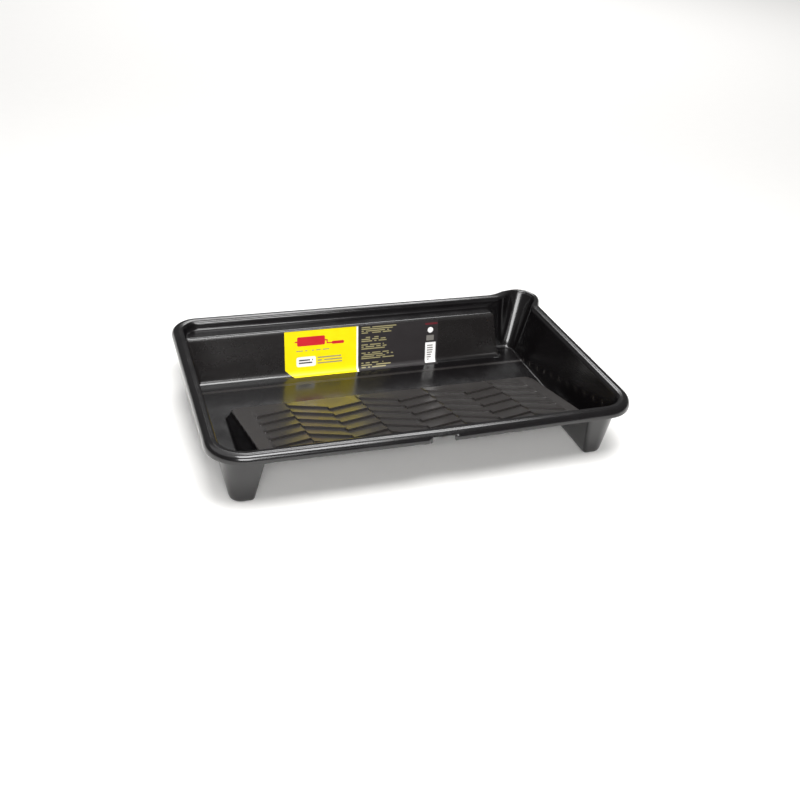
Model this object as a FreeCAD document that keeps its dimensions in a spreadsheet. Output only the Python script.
import FreeCAD, Part
import Sketcher
import math
import os

# Paint roller tray for a wide roller: one black plastic moulding with a printed label.
#
# Millimetres, +Z up. The tray stands on Z = 0 with the pouring lip at the rear right (+X, +Y).
# The moulding is modelled in regions that meet face to face: a deep well, a ramp with
# chevron shingles, two side channels, a stepped rear panel and a flanged rim.
# Each region is plain hulls and voids: a hull is what its outer skin encloses, and the
# void is the same hull moved in by the wall thickness and left open below.

doc = FreeCAD.newDocument("RollerTray")

# ---- driving dimensions ----------------------------------------------------------------

drivingSizes = {
    "trayLength": 540.0,      # rim, left to right, without the spout
    "trayDepth": 343.0,       # rim, front to rear, without the spout and the bow
    "trayHeight": 82.0,       # ground to rim top
    "wallThickness": 2.4,
    "wallDraft": 10.0,        # degrees from vertical, so that trays nest
    "floorCorner": 12.0,      # plan radius inside the well at the floor
    "rimWidth": 15.5,         # inner edge of the rim to its outer face
    "rimCorner": 36.0,        # plan radius of the rim's outer face at the rear
    "frontCorner": 46.0,      # and at the front
    "skirtDrop": 10.5,        # rim top to the skirt's lower edge
    "frontBow": 3.5,          # the front rim's middle stands this far forward
    "notchWidth": 28.0,       # gap in the middle of the front skirt
    "notchHeight": 7.0,
    "channelWidth": 23.0,     # floor of each side channel
    "wellWidth": 78.0,        # floor of the well, foot of the step to foot of the label panel
    "stepRise": 21.0,         # height of the ramp's rear edge
    "stepRun": 16.5,          # the step leans this far forward over its rise
    "deckDrop": 13.7,         # rim's underside to the ramp's front end
    "panelInset": 23.9,       # the label panel's foot stands this far in from the rear wall's
    "panelGap": 29.9,         # and its right end this far in from the right wall's
    "shelfDrop": 13.0,        # rim top to the shelf above the panel
    "spoutRadius": 29.5,      # outer plan radius of the pouring lip
    "spoutInset": 18.5,       # its centre, in from the rim's outer faces
    "spoutLip": 8.5,          # width of the rim round the pouring lip
    "spoutRoot": 2.0,         # the pouring channel is this much narrower than the corner it leaves
    "shinglePitch": 26.5,     # chevron rows, front to rear
    "shingleWidth": 47.6,     # one arm of a chevron, left to right
    "shingleSideMargin": 24.0,   # plain deck left at each side, at least
    "shingleFrontMargin": 20.0,  # last edge of the first forward arm to the front wall, at least
    "shingleRise": 3.0,       # height of a shingle's front edge
    "shingleFlank": 0.6,      # that edge falls over this distance
    "forwardSkew": 23.0,      # an arm that runs forward to the right
    "rearwardSkew": 14.5,     # an arm that runs rearward to the right
    "tipStep": 7.0,           # step between two arms at a chevron's tip
    "shingleSetback": 18.0,   # ramp's rear edge to the first forward arm's first edge
    "labelLength": 229.0,
    "labelThickness": 0.3,
    "labelShift": -4.5,       # label's middle from the tray's middle
    "labelMargin": 2.0,       # shelf edge to the label's upper edge, down the panel
    "labelFloorGap": 3.6,     # the label's lower edge stands this far above the well's floor
    "labelChamfer": 13.0,     # lower left corner of the label
}

sizes = doc.addObject("Spreadsheet::Sheet", "Sizes")
for row, (alias, value) in enumerate(drivingSizes.items(), start=1):
    sizes.set(f"A{row}", alias)
    sizes.set(f"B{row}", str(value))
    sizes.setAlias(f"B{row}", alias)
doc.recompute()

# ---- places worked out from the driving dimensions -------------------------------------

placeFormulas = {
    "lean": "tan(Sizes.wallDraft)",                       # inward run of a wall per mm of fall
    "skin": "Sizes.wallThickness / cos(Sizes.wallDraft)",  # wall thickness measured level
    "rimUnderside": "Sizes.trayHeight - Sizes.wallThickness",
    "skirtLow": "Sizes.trayHeight - Sizes.skirtDrop",
    "topLength": "Sizes.trayLength / 2 - Sizes.rimWidth",
    "topDepth": "Sizes.trayDepth / 2 - Sizes.rimWidth",
    "floorLength": "topLength - (rimUnderside - Sizes.wallThickness) * lean",
    "floorDepth": "topDepth - (rimUnderside - Sizes.wallThickness) * lean",
    "topCorner": "Sizes.rimCorner - Sizes.rimWidth",
    "frontExtra": "Sizes.frontCorner - Sizes.rimCorner",   # the front corners' larger radius
    "rampHalf": "floorLength - Sizes.channelWidth",
    "panelFoot": "floorDepth - Sizes.panelInset",          # Y of the label panel's foot
    "panelEnd": "floorLength - Sizes.panelGap",            # X of its right end at the ground
    "shelfHeight": "Sizes.trayHeight - Sizes.shelfDrop",
    "labelFoot": "Sizes.wallThickness + Sizes.labelFloorGap",
    "labelHeight": "(shelfHeight - labelFoot) / cos(Sizes.wallDraft) - Sizes.labelMargin",
    "rampToe": "panelFoot - Sizes.wellWidth",              # Y of the foot of the step
    "rampCrest": "rampToe - Sizes.stepRun",                # Y of the ramp's rear edge
    "rampClimb": "rimUnderside - Sizes.deckDrop - Sizes.stepRise",
    "rampAngle": "atan(rampClimb / (rampCrest + topDepth))",
    "rampRoof": "Sizes.trayHeight",                        # the ramp's hull is cut off by the deck
    "spoutX": "Sizes.trayLength / 2 - Sizes.spoutInset",
    "spoutY": "Sizes.trayDepth / 2 - Sizes.spoutInset",
    "spoutBulge": "Sizes.spoutRadius - Sizes.spoutInset",
    "outside": "Sizes.trayLength + Sizes.trayDepth",       # clear of the tray in every direction
}

places = doc.addObject("Spreadsheet::Sheet", "Places")
for row, (alias, formula) in enumerate(placeFormulas.items(), start=1):
    places.set(f"A{row}", alias)
    places.set(f"B{row}", "=" + formula)
    places.setAlias(f"B{row}", alias)
    doc.recompute()


def value(formula):
    """Return the number that a formula over the two sheets gives now."""
    return float(sizes.evalExpression(formula))


def bind(item, **formulas):
    """Bind each named property of an object to its formula."""
    for name, formula in formulas.items():
        item.setExpression(name.replace("_", "."), formula)
    return item


def place(item, x="0", y="0", z="0"):
    """Bind an object's position."""
    item.setExpression("Placement.Base.x", x)
    item.setExpression("Placement.Base.y", y)
    item.setExpression("Placement.Base.z", z)
    return item


def cut(name, base, tool):
    item = doc.addObject("Part::Cut", name)
    item.Base = base
    item.Tool = tool
    return item


def fuse(name, *items):
    item = doc.addObject("Part::MultiFuse", name)
    item.Shapes = list(items)
    return item


def common(name, *items):
    item = doc.addObject("Part::MultiCommon", name)
    item.Shapes = list(items)
    return item


# ---- plain solids ----------------------------------------------------------------------

def roundedOutline(name, halfLength, halfDepth, corner, level, frontExtra="Places.frontExtra"):
    """Sketch a rectangle with round corners, centred on the tray, at one level.

    The front corners have the rear ones' radius and something extra.
    """
    frontCorner = f"{corner} + {frontExtra}"
    a, b, r, f = value(halfLength), value(halfDepth), value(corner), value(frontCorner)
    sketch = place(doc.addObject("Sketcher::SketchObject", name), z=level)
    quarter = FreeCAD.Units.Quantity("90 deg").getValueAs("rad").Value
    up = FreeCAD.Vector(0, 0, 1)
    ends = [((f - a, -b), (a - f, -b)), ((a, f - b), (a, b - r)),
            ((a - r, b), (r - a, b)), ((-a, b - r), (-a, f - b))]
    turns = [(a - f, f - b, f), (a - r, b - r, r), (r - a, b - r, r), (f - a, f - b, f)]
    for start, end in ends:
        sketch.addGeometry(Part.LineSegment(FreeCAD.Vector(*start), FreeCAD.Vector(*end)))
    for turn, (x, y, radius) in enumerate(turns):
        circle = Part.Circle(FreeCAD.Vector(x, y, 0), up, radius)
        sketch.addGeometry(Part.ArcOfCircle(circle, (turn - 1) * quarter, turn * quarter))
    for side in range(4):
        arc = 4 + side
        following = (side + 1) % 4
        sketch.addConstraint(Sketcher.Constraint("Tangent", side, 2, arc, 1))
        sketch.addConstraint(Sketcher.Constraint("Tangent", arc, 2, following, 1))
        kind = "Horizontal" if side % 2 == 0 else "Vertical"
        sketch.addConstraint(Sketcher.Constraint(kind, side))
    sketch.addConstraint(Sketcher.Constraint("Equal", 4, 7))
    sketch.addConstraint(Sketcher.Constraint("Equal", 5, 6))
    named = [
        ("frontCorner", Sketcher.Constraint("Radius", 4, f), frontCorner),
        ("corner", Sketcher.Constraint("Radius", 5, r), corner),
        ("right", Sketcher.Constraint("DistanceX", -1, 1, 1, 1, a), halfLength),
        ("left", Sketcher.Constraint("DistanceX", 3, 1, -1, 1, a), halfLength),
        ("rear", Sketcher.Constraint("DistanceY", -1, 1, 2, 1, b), halfDepth),
        ("front", Sketcher.Constraint("DistanceY", 0, 1, -1, 1, b), halfDepth),
    ]
    for label, constraint, formula in named:
        index = sketch.addConstraint(constraint)
        sketch.renameConstraint(index, label)
        sketch.setExpression("Constraints." + label, formula)
    return sketch


def ringOfSpout(name, x, y, radius, level):
    """Draw one level circle of the pouring channel."""
    ring = doc.addObject("Part::Circle", name)
    bind(ring, Radius=radius)
    return place(ring, x, y, level)


def loft(name, *sections):
    item = doc.addObject("Part::Loft", name)
    item.Sections = list(sections)
    item.Solid = True
    item.Ruled = True
    return item


def draftedBlock(name, low, high, bottom, top):
    """Make a block with sloping sides: bottom and top are (x1, x2, y1, y2) at those levels.

    Part's wedge narrows along its own Y, so it is turned to stand up and its Z runs to the front.
    """
    block = doc.addObject("Part::Wedge", name)
    bind(block, Ymin=low, Ymax=high,
         Xmin=bottom[0], Xmax=bottom[1], Zmin=f"-({bottom[3]})", Zmax=f"-({bottom[2]})",
         X2min=top[0], X2max=top[1], Z2min=f"-({top[3]})", Z2max=f"-({top[2]})")
    block.Placement = FreeCAD.Placement(FreeCAD.Vector(), FreeCAD.Rotation(FreeCAD.Vector(1, 0, 0), 90))
    return block


def box(name, x, y, z):
    """Make a plain box from three (low, high) pairs of formulas."""
    item = doc.addObject("Part::Box", name)
    bind(item, Length=f"{x[1]} - ({x[0]})", Width=f"{y[1]} - ({y[0]})", Height=f"{z[1]} - ({z[0]})")
    return place(item, x[0], y[0], z[0])


# ---- the tub: what the tray's outer and inner skins enclose, without ramp and panel ----

def spoutCone(name, grow, low, high):
    """Flare from the well's corner at the floor to the pouring lip at the rim."""
    foot = ringOfSpout(
        name + "Foot",
        "Places.floorLength - Sizes.floorCorner", "Places.floorDepth - Sizes.floorCorner",
        f"Sizes.floorCorner - Sizes.spoutRoot + {grow}", low)
    mouth = ringOfSpout(
        name + "Mouth", "Places.spoutX", "Places.spoutY",
        f"Sizes.spoutRadius - Sizes.spoutLip + {grow}", high)
    return loft(name, foot, mouth)


innerMouth = roundedOutline("InnerMouth", "Places.topLength", "Places.topDepth",
                            "Places.topCorner", "Places.rimUnderside")
innerTub = fuse(
    "InnerTub",
    loft("InnerWalls",
         roundedOutline("InnerFoot", "Places.floorLength", "Places.floorDepth",
                        "Sizes.floorCorner", "Sizes.wallThickness", "0"),
         innerMouth),
    spoutCone("InnerSpout", "0", "Sizes.wallThickness", "Places.rimUnderside"))

belowFloor = "Places.skin - Sizes.wallThickness * Places.lean"  # outer skin, on the ground
outerTub = fuse(
    "OuterTub",
    loft("OuterWalls",
         roundedOutline("OuterFoot", f"Places.floorLength + {belowFloor}",
                        f"Places.floorDepth + {belowFloor}",
                        "Sizes.floorCorner + Places.skin", "0", "0"),
         roundedOutline("OuterMouth", f"Places.topLength + {belowFloor}",
                        f"Places.topDepth + {belowFloor}",
                        "Places.topCorner + Places.skin", "Places.rimUnderside")),
    spoutCone("OuterSpout", "Places.skin", "0", "Places.rimUnderside"))


# ---- the ramp ---------------------------------------------------------------------------

def rampHull(name, inward, down):
    """Block under the deck: drafted cheeks, a leaning rear step and a sloping top."""
    half = f"Places.rampHalf - {inward}"
    toe = f"Places.rampToe - {inward}"
    top = f"{half} - Places.rampRoof * Places.lean"
    crest = f"{toe} - Places.rampRoof * Sizes.stepRun / Sizes.stepRise"
    sides = draftedBlock(name + "Sides", "0", "Places.rampRoof",
                         (f"-({half})", half, "-Places.outside", toe),
                         (f"-({top})", top, "-Places.outside", crest))
    under = doc.addObject("Part::Box", name + "Under")
    bind(under, Length="2 * Places.outside", Width="2 * Places.outside", Height="Places.outside")
    under.Placement = FreeCAD.Placement(
        FreeCAD.Vector(), FreeCAD.Rotation(FreeCAD.Vector(-1, 0, 0), value("Places.rampAngle")))
    under.setExpression("Placement.Rotation.Angle", "Places.rampAngle")
    place(under, "-Places.outside",
          "Places.rampCrest - Places.outside * (cos(Places.rampAngle) + sin(Places.rampAngle))",
          f"Sizes.stepRise - {down} + Places.outside * (sin(Places.rampAngle) - cos(Places.rampAngle))")
    return common(name, sides, under), sides


def deckHeight(y):
    """Height of the plain deck at one distance from the middle."""
    run = value("Places.rampCrest") - y
    return value("Sizes.stepRise") + run * value("tan(Places.rampAngle)")


def shingleColumn(left, firstEdge, skew, rows):
    """One column of overlapping shingles: a saw-tooth section carried sideways and along the slope."""
    pitch = value("Sizes.shinglePitch")
    rise = value("Sizes.shingleRise")
    flank = value("Sizes.shingleFlank")
    root = value("Sizes.wallThickness") / 2
    teeth = []
    for row in range(rows):
        edge = firstEdge - row * pitch
        rear = edge + pitch - flank
        teeth += [(rear, deckHeight(rear)), (edge, deckHeight(edge) + rise),
                  (edge - flank, deckHeight(edge - flank))]
    low = [(y, deckHeight(y) - root) for y in (teeth[-1][0], teeth[0][0])]
    outline = [FreeCAD.Vector(left, y, z) for y, z in teeth + low]
    section = Part.Face(Part.makePolygon(outline + outline[:1]))
    climb = skew * value("tan(Places.rampAngle)")
    return section.extrude(FreeCAD.Vector(value("Sizes.shingleWidth"), -skew, climb))


def shingles():
    """All the columns that fit on the deck: arms run forward and rearward in turn, as chevrons."""
    width = value("Sizes.shingleWidth")
    count = math.floor(value("2 * (Places.rampHalf - Sizes.shingleSideMargin) / Sizes.shingleWidth"))
    forward = value("Sizes.forwardSkew")
    peak = value("Places.rampCrest - Sizes.shingleSetback")
    reach = value("Places.topDepth - Sizes.shingleFrontMargin") + peak
    rows = math.floor(reach / value("Sizes.shinglePitch")) + 1
    tip = peak - forward - value("Sizes.tipStep")
    columns = []
    for column in range(count):
        left = (column - count / 2) * width
        if column % 2:
            columns.append(shingleColumn(left, peak, forward, rows))
        else:
            columns.append(shingleColumn(left, tip, -value("Sizes.rearwardSkew"), rows))
    item = doc.addObject("Part::Feature", "Shingles")
    item.Shape = columns[0].multiFuse(columns[1:])
    return item


rampSolid, rampSides = rampHull("RampHull", "0", "0")
rampVoid = rampHull("RampVoid", "Places.skin", "Sizes.wallThickness / cos(Places.rampAngle)")[0]


# ---- the label panel with its shelf ------------------------------------------------------

def panelHull(name, inward, down):
    """Block behind the panel and under the shelf, open to the rear and the left."""
    end = f"Places.panelEnd - {inward}"
    foot = f"Places.panelFoot + {inward}"
    roof = f"Places.shelfHeight - {down}"
    return draftedBlock(name, "0", roof,
                        ("-Places.outside", end, foot, "Places.outside"),
                        ("-Places.outside", f"{end} - ({roof}) * Places.lean",
                         f"{foot} + ({roof}) * Places.lean", "Places.outside"))


panelSolid = panelHull("PanelHull", "0", "0")
panelVoid = panelHull("PanelVoid", "Places.skin", "Sizes.wallThickness")

# ---- the moulding below the rim, and its regions -----------------------------------------

deckAndShingles = fuse("DeckAndShingles", rampSolid, common("TrimmedShingles", shingles(), rampSides))
cavity = cut("Cavity", innerTub, fuse("RampAndPanel", deckAndShingles, panelSolid))
voids = fuse("Voids", rampVoid, panelVoid)
moulding = cut("Moulding", cut("Walled", outerTub, cavity), voids)
panelled = common("PanelSkin", panelSolid, moulding)
unpanelled = cut("WithoutPanel", moulding, panelSolid)

outward = ("-Places.outside", "Places.outside")
heights = ("0", "Sizes.trayHeight")
frontRows = ("-Places.outside", "Places.rampToe")
regions = {
    "well": box("WellRegion", outward, ("Places.rampToe", "Places.outside"), heights),
    "ramp": box("RampRegion", ("-Places.rampHalf", "Places.rampHalf"), frontRows, heights),
    "left_channel": box("LeftRegion", ("-Places.outside", "-Places.rampHalf"), frontRows, heights),
    "right_channel": box("RightRegion", ("Places.rampHalf", "Places.outside"), frontRows, heights),
}
subparts = {node: common("Node_" + node, unpanelled, region) for node, region in regions.items()}
subparts["rear_panel"] = panelled


# ---- the rim ------------------------------------------------------------------------------

def upright(name, outline, height):
    """Raise an outline straight up into a solid."""
    slab = doc.addObject("Part::Extrusion", name)
    slab.Base = outline
    slab.DirMode = "Custom"
    slab.Dir = FreeCAD.Vector(0, 0, 1)
    slab.Solid = True
    return bind(slab, LengthFwd=height)


def lipCylinder(name, radius, low, height):
    lip = doc.addObject("Part::Cylinder", name)
    bind(lip, Radius=radius, Height=height)
    return place(lip, "Places.spoutX", "Places.spoutY", low)


def rimSolid(name, inward, low, high):
    """What the rim's skirt encloses: a rounded rectangle, the pouring lip and the bowed front."""
    halfLength = f"Sizes.trayLength / 2 - {inward}"
    halfDepth = f"Sizes.trayDepth / 2 - {inward}"
    outline = roundedOutline(name + "Outline", halfLength, halfDepth, f"Sizes.rimCorner - {inward}", low)
    slab = upright(name + "Slab", outline, f"{high} - ({low})")
    lip = lipCylinder(name + "Lip", f"Sizes.spoutRadius - {inward}", low, f"{high} - ({low})")
    straight = "Sizes.trayLength / 2 - Sizes.frontCorner"
    bow = doc.addObject("Part::Wedge", name + "Bow")
    bind(bow, Ymin="-Sizes.wallThickness", Ymax="Sizes.frontBow", Xmin=f"-({straight})", Xmax=straight,
         Zmin=low, Zmax=high, X2min="0", X2max="0", Z2min=low, Z2max=high)
    bow.Placement = FreeCAD.Placement(FreeCAD.Vector(), FreeCAD.Rotation(FreeCAD.Vector(0, 0, 1), 180))
    place(bow, y=f"-({halfDepth})")
    return fuse(name, slab, lip, bow)


flange = cut("Flange", rimSolid("RimBlock", "0", "Places.skirtLow", "Sizes.trayHeight"),
             rimSolid("RimVoid", "Sizes.wallThickness", "Places.skirtLow", "Places.rimUnderside"))
notch = box("Notch", ("-Sizes.notchWidth / 2", "Sizes.notchWidth / 2"),
            ("-Sizes.trayDepth", "-Sizes.trayDepth / 2 + Sizes.rimWidth / 2"),
            ("Places.skirtLow", "Places.skirtLow + Sizes.notchHeight"))
mouth = fuse("Mouth", upright("MouthSlab", innerMouth, "Sizes.wallThickness"),
             lipCylinder("MouthLip", "Sizes.spoutRadius - Sizes.spoutLip",
                         "Places.rimUnderside", "Sizes.wallThickness"))
subparts["rim"] = cut("OpenRim", cut("RimRing", flange, mouth), notch)


# ---- the printed label --------------------------------------------------------------------

def labelSheet():
    """Thin sheet stuck to the sloping panel, its lower left corner cut off."""
    half = value("Sizes.labelLength") / 2
    middle = value("Sizes.labelShift")
    tall = value("Places.labelHeight")
    nick = value("Sizes.labelChamfer")
    left, right = middle - half, middle + half
    corners = [(left + nick, 0), (right, 0), (right, tall), (left, tall), (left, nick)]
    outline = [FreeCAD.Vector(x, y, 0) for x, y in corners]
    sheet = Part.Face(Part.makePolygon(outline + outline[:1]))
    item = doc.addObject("Part::Feature", "LabelSheet")
    item.Shape = sheet.extrude(FreeCAD.Vector(0, 0, value("Sizes.labelThickness")))
    upright = FreeCAD.Rotation(FreeCAD.Vector(1, 0, 0), 90 - value("Sizes.wallDraft"))
    item.Placement = FreeCAD.Placement(FreeCAD.Vector(), upright)
    return item


subparts["label"] = labelSheet()

# ---- names, places, checks and files -------------------------------------------------------

# The origin is the middle of the whole footprint, with the spout and the bow, on the ground.
for node, item in subparts.items():
    item.Label = node
    place(item, "-Places.spoutBulge / 2", "(Sizes.frontBow - Places.spoutBulge) / 2")
place(subparts["label"], "-Places.spoutBulge / 2",
      "Places.panelFoot + Places.labelFoot * Places.lean + (Sizes.frontBow - Places.spoutBulge) / 2",
      "Places.labelFoot")
doc.recompute()

faulty = [item.Label for item in doc.Objects if {"Invalid", "Error"} & set(item.State)]
if faulty:
    raise RuntimeError("failed to build: " + ", ".join(faulty))
for node, item in subparts.items():
    if item.Shape.isNull() or not item.Shape.isValid() or not item.Shape.Solids:
        raise RuntimeError(node + " is not a valid solid")

os.makedirs("parts", exist_ok=True)
for node, item in subparts.items():
    item.Shape.exportStep("parts/" + node + ".step")
    print(node, "solids", len(item.Shape.Solids), "volume", round(item.Shape.Volume))
